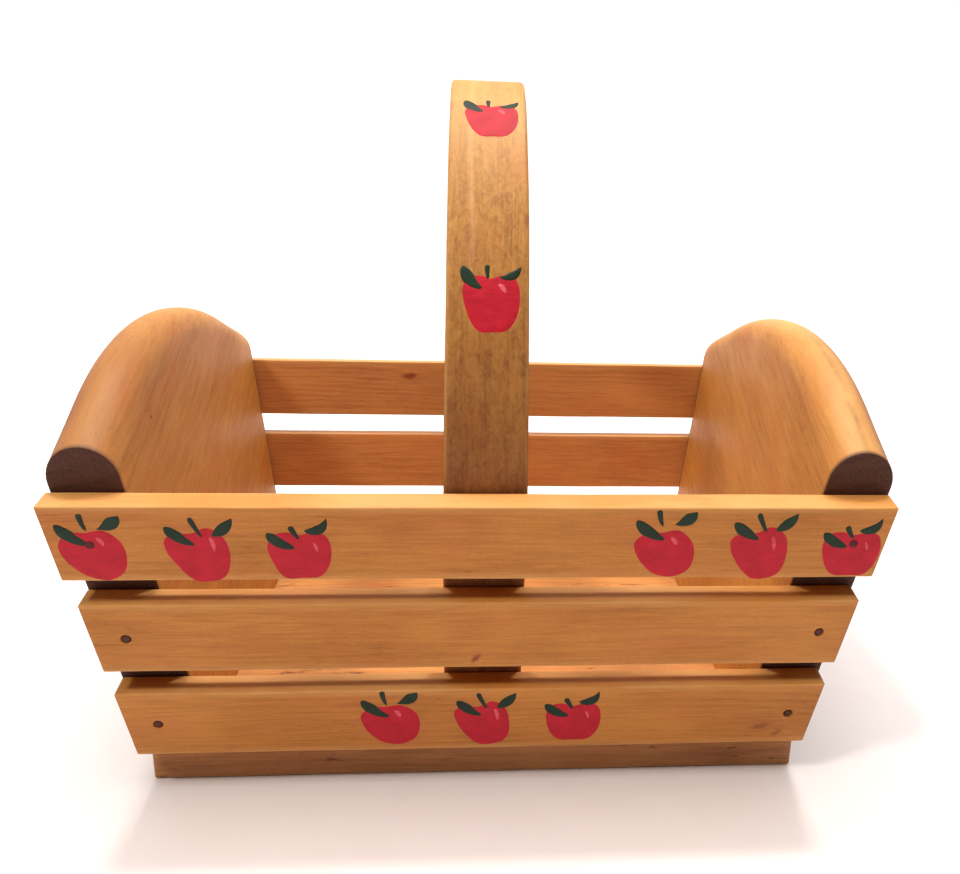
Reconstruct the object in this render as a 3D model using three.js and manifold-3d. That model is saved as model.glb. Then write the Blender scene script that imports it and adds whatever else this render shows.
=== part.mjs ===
// Small slatted wooden basket: a base board, two arched end boards that lean outwards, three
// slats nailed across the front and three across the back, and a bent strap handle that is
// fixed inside the slats. Millimetres, +Z up, +X along the slats, front towards -Y, origin at
// the centre of the base board's underside.

import * as THREE from "three";
import { mergeVertices } from "three/addons/utils/BufferGeometryUtils.js";
import Module from "manifold-3d";

const wasm = await Module();
wasm.setup();

// ---------------------------------------------------------------- driving dimensions

const GAP = 0.3; // play left between pieces that touch

const BASE_HALF_LENGTH = 95.7;
const BASE_HALF_WIDTH = 62.3;
const BASE_THICKNESS = 12.7;

const END_LEAN = THREE.MathUtils.degToRad(8.6); // end boards, out from vertical
const SIDE_LEAN = THREE.MathUtils.degToRad(8.5); // slats, out from vertical
const END_THICKNESS = 18;
const SIDE_HALF_WIDTH = 58.8; // from the middle to the slats' inner plane, at base underside height

const ARCH_HEIGHT = 126.4; // crown of the arch, up the board's outer face from base underside height
const ARCH_RADIUS = 131; // round middle of the arch
const ARCH_FLANK = THREE.MathUtils.degToRad(23); // straight shoulders, down from level
const ARCH_OFFSET = 0.7; // the crown sits this far towards the front
const NOSE_FLAT = 0.6; // flat left between the two quarter rounds of the arch's edge

const SLAT_WIDTH = 22;
const SLAT_THICKNESS = 7.5;
const SLAT_START = 13.9; // lowest slat's lower edge, up the slope from base underside height
const SLAT_PITCH = 29.75;
const SLAT_EASE = 0.5; // eased long edges
const SLAT_NAMES = ["bottom", "middle", "top"];
// How far each hand-cut slat runs past the end boards' outer faces, at local -X and +X.
const SLAT_OVERRUN = {
  front: [[-0.3, -1.2], [0, -1], [1.2, 0]],
  back: [[0, -0.5], [0.4, 0], [0, 0.3]],
};

const STRAP_WIDTH = 22.4;
const STRAP_CROWN_WIDTH = 21.6;
const STRAP_THICKNESS = 4;
const STRAP_HEIGHT = 200; // top of the handle above the base underside
const STRAP_LEAVES_SLATS = 86; // height at which the strap starts to bend inwards
const STRAP_LEG_PULL = 31; // how far the straight leg's direction carries on into the bend
const STRAP_CROWN_PULL = 46; // the same for the level crown
const STRAP_STEPS = 26; // per half of the bend

const NAIL = { shank: 0.8, head: 1.15, headHeight: 0.9, length: 24 };
const BRAD = { shank: 0.6, head: 1.1, headHeight: 0.5, length: 8 };
const NAIL_SIDES = 12;
const NAIL_RECESS = 0.1; // slat nails' heads below the slat's face
const BASE_NAIL_RECESS = 0.5;
const BASE_NAIL_SPREAD = 40; // spacing of the nails under each end board

// ---------------------------------------------------------------- materials

const woodColour = { slat: 0xbe7d37, end: 0xb97a3e, base: 0x8c5230, strap: 0xc28642 };

function wood(colour) {
  return new THREE.MeshStandardMaterial({ color: colour, roughness: 0.5, metalness: 0 });
}

function steel() {
  return new THREE.MeshStandardMaterial({ color: 0x4b2c22, roughness: 0.45, metalness: 0.6 });
}

// ---------------------------------------------------------------- solids

function toSolid(geometry) {
  const bare = geometry.clone();
  bare.deleteAttribute("normal");
  bare.deleteAttribute("uv");
  const merged = mergeVertices(bare, 1e-4);
  const vertProperties = new Float32Array(merged.attributes.position.array);
  const triVerts = new Uint32Array(merged.index.array);
  return new wasm.Manifold(new wasm.Mesh({ numProp: 3, vertProperties, triVerts }));
}

function toGeometry(solid) {
  const mesh = solid.getMesh();
  const geometry = new THREE.BufferGeometry();
  geometry.setAttribute("position", new THREE.BufferAttribute(mesh.vertProperties, 3));
  geometry.setIndex(new THREE.BufferAttribute(mesh.triVerts, 1));
  return geometry;
}

function outlineShape(points) {
  return new THREE.Shape(points.map(([x, y]) => new THREE.Vector2(x, y)));
}

function namedMesh(name, geometry, material) {
  const mesh = new THREE.Mesh(geometry, material);
  mesh.name = name;
  return mesh;
}

// Half-length of the basket at the end boards' outer faces, at a height above the base underside.
function halfLengthAt(height) {
  return BASE_HALF_LENGTH + height * Math.tan(END_LEAN);
}

// ---------------------------------------------------------------- base board

function baseBoard() {
  const geometry = new THREE.BoxGeometry(2 * BASE_HALF_LENGTH, 2 * BASE_HALF_WIDTH, BASE_THICKNESS);
  geometry.translate(0, 0, BASE_THICKNESS / 2);
  return namedMesh("base_board", geometry, wood(woodColour.base));
}

// ---------------------------------------------------------------- end boards

// Height of the arch above base underside height, measured up the board, at a distance from
// the crown: a round middle that runs into straight shoulders.
function archHeight(distance) {
  const roundEnd = ARCH_RADIUS * Math.sin(ARCH_FLANK);
  const centre = ARCH_HEIGHT - ARCH_RADIUS;
  if (distance < roundEnd) {
    return centre + Math.sqrt(ARCH_RADIUS ** 2 - distance ** 2);
  }
  return centre + ARCH_RADIUS * Math.cos(ARCH_FLANK) - (distance - roundEnd) * Math.tan(ARCH_FLANK);
}

// Local frame: X along the board's width, Y up the board, Z out of its outer face. The plate is
// rounded all round and larger than the board, and the two side cuts and the level bottom cut
// leave the half-round edge on the arch alone.
function endBoard(name, crownShift) {
  const reach = SIDE_HALF_WIDTH + 60;
  const archSteps = 32;
  const outline = [[-reach, -60]];
  outline.push([reach, -60]);
  outline.push([reach, archHeight(reach - crownShift)]);
  const roundEnd = ARCH_RADIUS * Math.sin(ARCH_FLANK);
  for (let i = 0; i <= archSteps; i += 1) {
    const across = roundEnd * (1 - (2 * i) / archSteps);
    outline.push([crownShift + across, archHeight(Math.abs(across))]);
  }
  outline.push([-reach, archHeight(reach + crownShift)]);

  const nose = (END_THICKNESS - NOSE_FLAT) / 2;
  const plate = new THREE.ExtrudeGeometry(outlineShape(outline), {
    depth: NOSE_FLAT,
    bevelThickness: nose,
    bevelSize: nose,
    bevelOffset: -nose,
    bevelSegments: 8,
  });
  plate.translate(0, 0, nose - END_THICKNESS);

  const solid = toSolid(plate).intersect(toSolid(endTrim()));
  return namedMesh(name, toGeometry(solid), wood(woodColour.end));
}

// The space between the two slat planes above the base board, in an end board's local frame.
function endTrim() {
  const low = BASE_THICKNESS + GAP;
  const high = 160;
  const halfWidthAt = (height) => SIDE_HALF_WIDTH + height * Math.tan(SIDE_LEAN) - GAP / Math.cos(SIDE_LEAN);
  const wedge = new THREE.ExtrudeGeometry(
    outlineShape([
      [-halfWidthAt(low), low],
      [halfWidthAt(low), low],
      [halfWidthAt(high), high],
      [-halfWidthAt(high), high],
    ]),
    { depth: 120, bevelEnabled: false },
  );
  wedge.translate(0, 0, -60);
  wedge.rotateX(-END_LEAN);
  return wedge;
}

// ---------------------------------------------------------------- slats

// Local frame: X along the slat, Y up the slope, Z out of the outer face, with the inner face at
// Z = 0. The slat's ends follow the end boards' outer faces.
function slat(name, index, [overrunLow, overrunHigh]) {
  const lower = SLAT_START + index * SLAT_PITCH;
  const upper = lower + SLAT_WIDTH;
  const halfBottom = halfLengthAt(lower * Math.cos(SIDE_LEAN));
  const halfTop = halfLengthAt(upper * Math.cos(SIDE_LEAN));
  const geometry = new THREE.ExtrudeGeometry(
    outlineShape([
      [-halfBottom - overrunLow, lower],
      [halfBottom + overrunHigh, lower],
      [halfTop + overrunHigh, upper],
      [-halfTop - overrunLow, upper],
    ]),
    {
      depth: SLAT_THICKNESS - 2 * SLAT_EASE,
      bevelThickness: SLAT_EASE,
      bevelSize: SLAT_EASE,
      bevelOffset: -SLAT_EASE,
      bevelSegments: 3,
    },
  );
  geometry.translate(0, 0, SLAT_EASE);
  return namedMesh(name, geometry, wood(woodColour.slat));
}

// ---------------------------------------------------------------- handle

// Outer line of the front half of the strap, as (Y, Z) points from the foot to the crown.
function strapHalfLine() {
  const lineAt = (height) => {
    const inward = GAP / Math.cos(SIDE_LEAN);
    return new THREE.Vector2(-SIDE_HALF_WIDTH - height * Math.tan(SIDE_LEAN) + inward, height);
  };
  const foot = lineAt(BASE_THICKNESS + GAP);
  const bendStart = lineAt(STRAP_LEAVES_SLATS);
  const alongLeg = new THREE.Vector2(-Math.sin(SIDE_LEAN), Math.cos(SIDE_LEAN));
  const bend = new THREE.CubicBezierCurve(
    bendStart,
    bendStart.clone().addScaledVector(alongLeg, STRAP_LEG_PULL),
    new THREE.Vector2(-STRAP_CROWN_PULL, STRAP_HEIGHT),
    new THREE.Vector2(0, STRAP_HEIGHT),
  );
  return [foot, ...bend.getSpacedPoints(STRAP_STEPS)];
}

function strapHandle() {
  const front = strapHalfLine();
  const back = front.slice(0, -1).reverse().map((p) => new THREE.Vector2(-p.x, p.y));
  const outer = [...front, ...back];
  const inner = outer.map((p, i) => {
    const before = outer[Math.max(i - 1, 0)];
    const after = outer[Math.min(i + 1, outer.length - 1)];
    const along = after.clone().sub(before).normalize();
    return new THREE.Vector2(p.x + along.y * STRAP_THICKNESS, p.y - along.x * STRAP_THICKNESS);
  });
  // The two feet are cut level, just clear of the base board.
  for (const end of [0, inner.length - 1]) {
    const neighbour = inner[end === 0 ? 1 : end - 1];
    const t = (outer[end].y - inner[end].y) / (neighbour.y - inner[end].y);
    inner[end].lerp(neighbour, t);
  }
  const geometry = new THREE.ExtrudeGeometry(new THREE.Shape([...outer, ...inner.reverse()]), {
    depth: STRAP_WIDTH,
    bevelEnabled: false,
  });
  geometry.translate(0, 0, -STRAP_WIDTH / 2);
  geometry.rotateX(Math.PI / 2);
  geometry.rotateZ(Math.PI / 2);
  taperToCrown(geometry);
  return namedMesh("handle_strap", geometry, wood(woodColour.strap));
}

// Above the slats the strap narrows slightly towards its crown.
function taperToCrown(geometry) {
  const position = geometry.attributes.position;
  for (let i = 0; i < position.count; i += 1) {
    const rise = (position.getZ(i) - STRAP_LEAVES_SLATS) / (STRAP_HEIGHT - STRAP_LEAVES_SLATS);
    const share = THREE.MathUtils.clamp(rise, 0, 1);
    const width = THREE.MathUtils.lerp(STRAP_WIDTH, STRAP_CROWN_WIDTH, share);
    position.setX(i, (position.getX(i) * width) / STRAP_WIDTH);
  }
}

// ---------------------------------------------------------------- nails

// A nail's profile turned about +Y: the head's top is at Y = 0 and the point is down -Y. The
// hole that it needs is the same profile grown by the play and open above the head.
function nailProfile({ shank, head, headHeight, length }, play, openAbove) {
  return new THREE.LatheGeometry(
    [
      new THREE.Vector2(0, -length - play),
      new THREE.Vector2(shank + play, -length + 2 * shank),
      new THREE.Vector2(shank + play, -headHeight - play),
      new THREE.Vector2(head + play, -headHeight * 0.4 - play),
      new THREE.Vector2(head + play, openAbove),
      new THREE.Vector2(0, openAbove),
    ],
    NAIL_SIDES,
  );
}

// The head's top is put at the given point and the nail runs along the given direction.
function nail(name, kind, point, direction) {
  const mesh = namedMesh(name, toGeometry(toSolid(nailProfile(kind, 0, 0))), steel());
  mesh.position.copy(point);
  mesh.quaternion.setFromUnitVectors(new THREE.Vector3(0, -1, 0), direction);
  mesh.userData.kind = kind;
  return mesh;
}

function drill(mesh, nails) {
  let solid = toSolid(mesh.geometry);
  const toLocal = mesh.matrixWorld.clone().invert();
  for (const item of nails) {
    const hole = nailProfile(item.userData.kind, GAP, 5);
    hole.applyMatrix4(item.matrixWorld);
    hole.applyMatrix4(toLocal);
    solid = solid.subtract(toSolid(hole));
  }
  mesh.geometry = toGeometry(solid);
}

// ---------------------------------------------------------------- assembly

const basket = new THREE.Group();
basket.name = "slatted_basket";

const base = baseBoard();
basket.add(base);

// The left end is the right end turned half round, with the crown still towards the front.
const ends = {};
for (const [side, turn] of [["right", 0], ["left", Math.PI]]) {
  const end = new THREE.Group();
  end.rotation.z = turn;
  const leaning = new THREE.Group();
  leaning.position.x = BASE_HALF_LENGTH;
  leaning.rotation.y = END_LEAN;
  const board = endBoard(`${side}_end_board`, side === "right" ? -ARCH_OFFSET : ARCH_OFFSET);
  board.rotation.set(Math.PI / 2, 0, Math.PI / 2, "ZYX");
  leaning.add(board);
  end.add(leaning);
  basket.add(end);
  ends[side] = { board, sign: side === "right" ? 1 : -1, nails: [] };
}

// Each side is a leaning frame that holds its three slats; the back is the front turned round.
const sides = {};
for (const [face, turn] of [["front", 0], ["back", Math.PI]]) {
  const side = new THREE.Group();
  side.rotation.z = turn;
  const leaning = new THREE.Group();
  leaning.position.y = -SIDE_HALF_WIDTH;
  leaning.rotation.x = Math.PI / 2 + SIDE_LEAN;
  side.add(leaning);
  basket.add(side);
  const slats = SLAT_NAMES.map((level, index) =>
    slat(`${face}_${level}_slat`, index, SLAT_OVERRUN[face][index]),
  );
  leaning.add(...slats);
  sides[face] = { leaning, slats, sign: face === "front" ? -1 : 1, nails: slats.map(() => []) };
}

const strap = strapHandle();
basket.add(strap);
const strapNails = [];

// One nail through each slat end, into the middle of the end board's edge.
for (const [face, side] of Object.entries(sides)) {
  SLAT_NAMES.forEach((level, index) => {
    const middle = SLAT_START + index * SLAT_PITCH + SLAT_WIDTH / 2;
    const height = middle * Math.cos(SIDE_LEAN);
    const along = halfLengthAt(height) - END_THICKNESS / 2 / Math.cos(END_LEAN);
    for (const [hand, end] of Object.entries(ends)) {
      const localX = -side.sign * end.sign * along;
      const point = new THREE.Vector3(localX, middle, SLAT_THICKNESS - NAIL_RECESS);
      const item = nail(`${face}_${level}_${hand}_nail`, NAIL, point, new THREE.Vector3(0, 0, -1));
      side.leaning.add(item);
      side.nails[index].push(item);
      end.nails.push(item);
    }
  });
}

// Brads from inside, through the strap and into each slat.
for (const [face, side] of Object.entries(sides)) {
  SLAT_NAMES.forEach((level, index) => {
    const middle = SLAT_START + index * SLAT_PITCH + SLAT_WIDTH / 2;
    const point = new THREE.Vector3(0, middle - (index === 2 ? 4 : 0), -GAP - STRAP_THICKNESS - 0.1);
    const item = nail(`${face}_${level}_strap_brad`, BRAD, point, new THREE.Vector3(0, 0, 1));
    side.leaning.add(item);
    side.nails[index].push(item);
    strapNails.push(item);
  });
}

// Nails from beneath, through the base board and up into each end board.
const baseNails = [];
for (const [hand, end] of Object.entries(ends)) {
  const up = new THREE.Vector3(end.sign * Math.sin(END_LEAN), 0, Math.cos(END_LEAN));
  const across = BASE_HALF_LENGTH - END_THICKNESS / 2 / Math.cos(END_LEAN);
  [["front", -1], ["middle", 0], ["back", 1]].forEach(([place, step]) => {
    const foot = new THREE.Vector3(end.sign * across, step * BASE_NAIL_SPREAD, 0);
    foot.addScaledVector(up, BASE_NAIL_RECESS);
    const item = nail(`base_${hand}_${place}_nail`, NAIL, foot, up);
    basket.add(item);
    baseNails.push(item);
    end.nails.push(item);
  });
}

basket.updateMatrixWorld(true);
drill(base, baseNails);
drill(strap, strapNails);
for (const end of Object.values(ends)) {
  drill(end.board, end.nails);
}
for (const side of Object.values(sides)) {
  side.slats.forEach((mesh, index) => drill(mesh, side.nails[index]));
}

export default basket;
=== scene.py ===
"""Looks of a small slatted wooden basket with painted apples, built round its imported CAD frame.

Metres, +X along the slats, front towards -Y, +Z up. Every wooden piece is a fine mesh that
replaces its CAD node, carries its own grain coordinates as a mesh attribute, and has a
procedural stained-wood material.
"""

import math

import bmesh
import bpy
import numpy as np
from mathutils import Matrix, Vector, noise


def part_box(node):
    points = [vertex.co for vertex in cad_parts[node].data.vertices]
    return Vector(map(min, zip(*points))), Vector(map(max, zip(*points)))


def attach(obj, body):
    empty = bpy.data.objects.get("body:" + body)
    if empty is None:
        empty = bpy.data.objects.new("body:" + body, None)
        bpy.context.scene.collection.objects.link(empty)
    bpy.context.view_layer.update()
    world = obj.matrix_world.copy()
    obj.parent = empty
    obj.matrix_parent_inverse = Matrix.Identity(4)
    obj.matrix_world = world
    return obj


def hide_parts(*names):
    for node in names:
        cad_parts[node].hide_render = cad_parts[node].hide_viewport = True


# Vector noise takes its offsets from a seed, which would otherwise be the time of the run.
noise.seed_set(1)

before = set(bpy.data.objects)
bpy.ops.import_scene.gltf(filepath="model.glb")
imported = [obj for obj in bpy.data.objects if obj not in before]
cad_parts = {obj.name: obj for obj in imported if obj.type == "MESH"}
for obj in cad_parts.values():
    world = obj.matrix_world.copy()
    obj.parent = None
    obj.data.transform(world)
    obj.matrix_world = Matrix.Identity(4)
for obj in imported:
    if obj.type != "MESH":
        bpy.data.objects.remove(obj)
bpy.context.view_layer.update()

MM = 0.001
MICRON = 0.001 * MM

# ---------------- driving dimensions, as in the CAD part

GAP = 0.3 * MM
END_LEAN = math.radians(8.6)
SIDE_LEAN = math.radians(8.5)
END_THICKNESS = 18 * MM
SIDE_HALF_WIDTH = 58.8 * MM
ARCH_HEIGHT = 126.4 * MM
ARCH_RADIUS = 131 * MM
ARCH_FLANK = math.radians(23)
ARCH_OFFSET = 0.7 * MM
SLAT_WIDTH = 22 * MM
SLAT_THICKNESS = 7.5 * MM
SLAT_START = 13.9 * MM
SLAT_PITCH = 29.75 * MM
# How far each slat stands past the end boards' outer faces, in mm, at the -X and +X ends of its
# own frame. The bottom slat comes first.
SLAT_OVERRUN = {
    "front": ((-0.3, -1.2), (0, -1), (1.2, 0)),
    "back": ((0, -0.5), (0.4, 0), (0, 0.3)),
}
STRAP_WIDTH = 22.4 * MM
STRAP_CROWN_WIDTH = 21.6 * MM
STRAP_THICKNESS = 4 * MM
STRAP_LEAVES_SLATS = 86 * MM
STRAP_LEG_PULL = 31 * MM
STRAP_CROWN_PULL = 46 * MM

BASE_LOW, BASE_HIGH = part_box("base_board")
BASE_HALF_LENGTH = BASE_HIGH.x
BASE_THICKNESS = BASE_HIGH.z
STRAP_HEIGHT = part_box("handle_strap")[1].z
LEVELS = ("bottom", "middle", "top")


def half_length_at(height):
    """Half of the basket's length at the end boards' outer faces, at a height above the underside."""
    return BASE_HALF_LENGTH + height * math.tan(END_LEAN)


def side_plane_at(height):
    """Distance of the slats' inner plane from the middle, at a height."""
    return SIDE_HALF_WIDTH + height * math.tan(SIDE_LEAN)


# ---------------- colours

def srgb(red, green, blue):
    """An 8-bit sRGB colour as the linear RGBA that a shader socket takes."""
    shares = (red / 255, green / 255, blue / 255)
    linear = [c / 12.92 if c <= 0.04045 else ((c + 0.055) / 1.055) ** 2.4 for c in shares]
    return (*linear, 1.0)


# Marks that the wood shader lays over a board's own light and dark colours.
PORE = srgb(104, 56, 26)
WARM_PATCH = srgb(196, 104, 52)
SPECKLE = srgb(150, 92, 44)
CRACK = srgb(112, 66, 36)
PALE_FIBRE = srgb(230, 168, 112)
ROUGH_SPOT = srgb(66, 36, 24)
KNOT_RED = srgb(134, 50, 26)
KNOT_BROWN = srgb(138, 80, 36)
# Multiplied in as painted shade, and as stain on the end boards' noses.
STAIN_AND_SHADE = srgb(178, 148, 160)
# Pale of worn arrises, and of painted light on faces turned up to the lamps.
WORN_AND_LIT_PALE = srgb(226, 176, 108)
END_GRAIN_DARK, END_GRAIN_LIGHT = srgb(62, 32, 24), srgb(92, 54, 38)
END_GRAIN_RING = srgb(54, 27, 20)

WOOD_UNDER_PAINT = srgb(176, 112, 62)
STEEL_BROWN, STEEL_RUST = srgb(64, 42, 36), srgb(96, 52, 34)
FLOOR_DARK, FLOOR_LIGHT = srgb(240, 236, 237), srgb(244, 241, 242)


# ---------------- shader building

class Shader:
    """A material's node tree, with each node made in one call."""

    def __init__(self, name):
        self.material = bpy.data.materials.new(name)
        self.material.use_nodes = True
        self.tree = self.material.node_tree
        self.tree.nodes.clear()

    def node(self, kind, inputs=None, **settings):
        made = self.tree.nodes.new(kind)
        for key, value in settings.items():
            setattr(made, key, value)
        for key, value in (inputs or {}).items():
            self.put(made.inputs[key], value)
        return made

    def put(self, socket, value):
        if isinstance(value, bpy.types.NodeSocket):
            self.tree.links.new(value, socket)
        else:
            socket.default_value = value

    def attribute(self, name):
        return self.node("ShaderNodeAttribute", attribute_name=name)

    def math(self, operation, *values, clamp=False):
        settings = {"operation": operation, "use_clamp": clamp}
        return self.node("ShaderNodeMath", dict(enumerate(values)), **settings).outputs[0]

    def vector(self, operation, *values):
        made = self.node("ShaderNodeVectorMath", dict(enumerate(values)), operation=operation)
        return made.outputs["Value" if operation == "LENGTH" else "Vector"]

    def axis(self, vector, letter):
        return self.node("ShaderNodeSeparateXYZ", {0: vector}).outputs[letter]

    def noise(self, position, scale, detail=2.0, roughness=0.5, distortion=0.0, output="Fac"):
        """Noise from 0 to 1, with its own scale along each axis of position."""
        inputs = {"Vector": self.vector("MULTIPLY", position, scale), "Scale": 1.0}
        inputs |= {"Detail": detail, "Roughness": roughness, "Distortion": distortion}
        return self.node("ShaderNodeTexNoise", inputs).outputs[output]

    def ramp(self, value, *stops):
        """Straight lines between (position, value) stops."""
        made = self.node("ShaderNodeValToRGB", {0: value})
        elements = made.color_ramp.elements
        while len(elements) < len(stops):
            elements.new(0.5)
        for element, (position, level) in zip(elements, stops):
            element.position = position
            element.color = (level, level, level, 1)
        return made.outputs[0]

    def between(self, value, low, high, to_low=0.0, to_high=1.0):
        inputs = {0: value, 1: low, 2: high, 3: to_low, 4: to_high}
        return self.node("ShaderNodeMapRange", inputs, clamp=True).outputs[0]

    def mix(self, factor, first, second, blend="MIX"):
        inputs = {0: factor, 6: first, 7: second}
        return self.node("ShaderNodeMix", inputs, data_type="RGBA", blend_type=blend).outputs[2]

    def finish(self, colour, roughness, height, bump_strength, bump_distance, **uniform):
        bump_inputs = {"Height": height, "Strength": bump_strength, "Distance": bump_distance}
        bump = self.node("ShaderNodeBump", bump_inputs)
        inputs = {"Base Color": colour, "Roughness": roughness, "Normal": bump.outputs[0]}
        principled = self.node("ShaderNodeBsdfPrincipled", inputs)
        for key, value in uniform.items():
            principled.inputs[key.replace("_", " ")].default_value = value
        output = self.node("ShaderNodeOutputMaterial")
        self.tree.links.new(principled.outputs[0], output.inputs[0])
        return self.material


# How strongly each mark darkens the stained wood, and how much is taken off again at the end.
FIBRE_WEIGHT = 0.40
BLOTCH_WEIGHT = 0.44
STREAK_WEIGHT = 0.05
STREAK_PER_CONTRAST = 0.22
LIGHTENING = 0.27

RING_WANDER = 9 * MM
KNOT_REACH = 1.7  # how far the year rings swerve round a knot, in its own half-widths
KNOT_SWERVE = 0.55  # by how much they swerve, in its widths
KNOT_STRENGTH = 0.85
PORE_STRENGTH = 0.42
CRACK_HALF_WIDTH = 1.3 * MM
CRACK_WOBBLE = 1.2 * MM
CRACK_FADE_START, CRACK_FADE_END = 35 * MM, 60 * MM
PALE_HALF_WIDTH = 1.4 * MM
PALE_DRIFT = 1.5 * MM
PALE_RUN = (0.13, 0.155, 0.21, 0.24)  # where the pale streak starts, is full, fades and ends
WOOD_BUMP = 0.12 * MM
PAINT_BUMP = 0.06 * MM
STEEL_BUMP = 0.08 * MM


def wood(
    name, seed, light, dark, ring=2.1 * MM, pith=(-0.034, 0.021), contrast=0.5, knots=(),
    mottled=0.0, rough_spots=0.0, nose_line=None, pale_streak=None, knot_colour=KNOT_RED
):
    """Stained and varnished softwood. The grain attribute runs along the fibres in X.

    Ring is the width of a year ring, and pith the (y, z) place that the rings go round. Knots are
    (x, y, length, width, lean in degrees). Nose_line is the z of a crackled line along an end
    board's rounded edge, and pale_streak the y of a pale streak up the strap.
    """
    s = Shader(name)
    place = s.attribute("grain").outputs["Vector"]
    shifted = s.vector("ADD", place, (seed * 0.371, seed * 0.113, seed * 0.267))

    def marks(along, across, **kind):
        """Noise with one scale along the fibres and another across them."""
        return s.noise(shifted, (along, across, across), **kind)

    def shaken(value, along, across, amount):
        """A value pushed up to an amount either way."""
        return s.math("ADD", value, s.math("MULTIPLY_ADD", marks(along, across), 2 * amount, -amount))

    # Year rings: cylinders round a pith outside the board, wandering along its length.
    wander = s.vector("SUBTRACT", marks(9.0, 38.0, output="Color"), (0.5, 0.5, 0.5))
    bent = s.vector("ADD", place, s.vector("MULTIPLY", wander, (0.0, RING_WANDER, RING_WANDER)))
    from_pith = s.vector("MULTIPLY", s.vector("SUBTRACT", bent, (0.0, *pith)), (0.0, 1.0, 1.0))
    from_pith = s.vector("LENGTH", from_pith)
    knot_mark = None
    for x, y, length, width, lean in knots:
        away = s.vector("SUBTRACT", place, (x, y, 0.0))
        turn = {"Vector": away, "Angle": -math.radians(lean)}
        away = s.node("ShaderNodeVectorRotate", turn, rotation_type="Z_AXIS").outputs[0]
        oval = s.vector("LENGTH", s.vector("MULTIPLY", away, (2 / length, 2 / width, 0.0)))
        squared = s.math("POWER", s.math("DIVIDE", oval, KNOT_REACH), 2.0)
        swell = s.math("POWER", math.e, s.math("MULTIPLY", squared, -1.0))
        swerve = s.math("MULTIPLY", swell, width * KNOT_SWERVE)
        from_pith = s.math("ADD", from_pith, swerve)
        ragged = s.math("MULTIPLY_ADD", marks(700.0, 700.0), 0.7, oval)
        mark = s.between(ragged, 1.45, 0.75)
        knot_mark = mark if knot_mark is None else s.math("MAXIMUM", knot_mark, mark)
    year = s.math("FRACT", s.math("DIVIDE", from_pith, ring))
    late = s.ramp(year, (0.0, 0.25), (0.12, 0.0), (0.55, 0.25), (0.86, 1.0), (0.96, 0.7), (1.0, 0.25))
    late = s.math("MULTIPLY", late, s.between(marks(14.0, 90.0), 0.3, 0.7, 0.15, 1.0))

    fibre = marks(70.0, 1300.0, detail=3.0, roughness=0.6)
    streak = marks(22.0, 330.0)
    blotch = marks(26.0, 60.0, detail=3.0, roughness=0.6)
    speckle = marks(1500.0, 2100.0, detail=1.0)
    pore = s.between(marks(260.0, 3000.0, detail=1.0), 0.63, 0.72)
    pore = s.math("MULTIPLY", pore, s.between(blotch, 0.42, 0.6))

    # Depth is the place between the light colour and the dark one.
    depth = s.math("MULTIPLY", late, contrast)
    layers = [
        (s.between(streak, 0.35, 0.7), STREAK_PER_CONTRAST * contrast + STREAK_WEIGHT),
        (s.between(fibre, 0.35, 0.7), FIBRE_WEIGHT),
        (s.between(blotch, 0.3, 0.72), BLOTCH_WEIGHT),
    ]
    if mottled:
        curl = marks(330.0, 480.0, detail=3.0, roughness=0.65, distortion=1.2)
        layers.append((s.between(curl, 0.42, 0.66), mottled))
    for layer, weight in layers:
        depth = s.math("MULTIPLY_ADD", layer, weight, depth)
    colour = s.mix(s.math("SUBTRACT", depth, LIGHTENING, clamp=True), light, dark)
    colour = s.mix(s.math("MULTIPLY", pore, PORE_STRENGTH), colour, PORE)
    warm = s.between(marks(40.0, 70.0, detail=1.0), 0.5, 0.75, 0.0, 0.30)
    colour = s.mix(warm, colour, WARM_PATCH)
    colour = s.mix(s.between(speckle, 0.3, 0.7, 0.0, 0.24), colour, SPECKLE)

    if nose_line is not None:
        out = shaken(s.axis(place, "Z"), 90.0, 90.0, CRACK_WOBBLE)
        off_line = s.math("ABSOLUTE", s.math("SUBTRACT", out, nose_line))
        crackle = s.noise(shifted, (420.0, 420.0, 900.0), detail=3.0, roughness=0.7)
        crackle = s.between(crackle, 0.38, 0.6, 0.25, 0.8)
        crack = s.math("MULTIPLY", s.between(off_line, CRACK_HALF_WIDTH, 0.3 * MM), crackle)
        low_part = s.between(s.axis(place, "X"), CRACK_FADE_END, CRACK_FADE_START)
        colour = s.mix(s.math("MULTIPLY", crack, low_part), colour, CRACK)
    if pale_streak is not None:
        along = s.axis(place, "X")
        across = shaken(s.axis(place, "Y"), 30.0, 0.0, PALE_DRIFT)
        off_streak = s.math("ABSOLUTE", s.math("SUBTRACT", across, pale_streak))
        start, full, fade_start, end = PALE_RUN
        on_run = s.math("MULTIPLY", s.between(along, start, full), s.between(along, end, fade_start))
        pale = s.between(off_streak, PALE_HALF_WIDTH, 0.2 * MM, 0.0, 0.35)
        colour = s.mix(s.math("MULTIPLY", pale, on_run), colour, PALE_FIBRE)
    if rough_spots:
        spot = marks(60.0, 260.0, detail=4.0, roughness=0.7)
        colour = s.mix(s.between(spot, 0.60, 0.70, 0.0, rough_spots), colour, ROUGH_SPOT)
    if knot_mark is not None:
        colour = s.mix(s.math("MULTIPLY", knot_mark, KNOT_STRENGTH), colour, knot_colour)

    # Painted shade, and stain on the end boards' noses, darkens and reddens the wood.
    tone = s.attribute("tone").outputs["Fac"]
    tone = s.math("MULTIPLY", tone, s.between(blotch, 0.2, 0.8, 0.8, 1.15))
    colour = s.mix(tone, colour, STAIN_AND_SHADE, blend="MULTIPLY")
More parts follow.
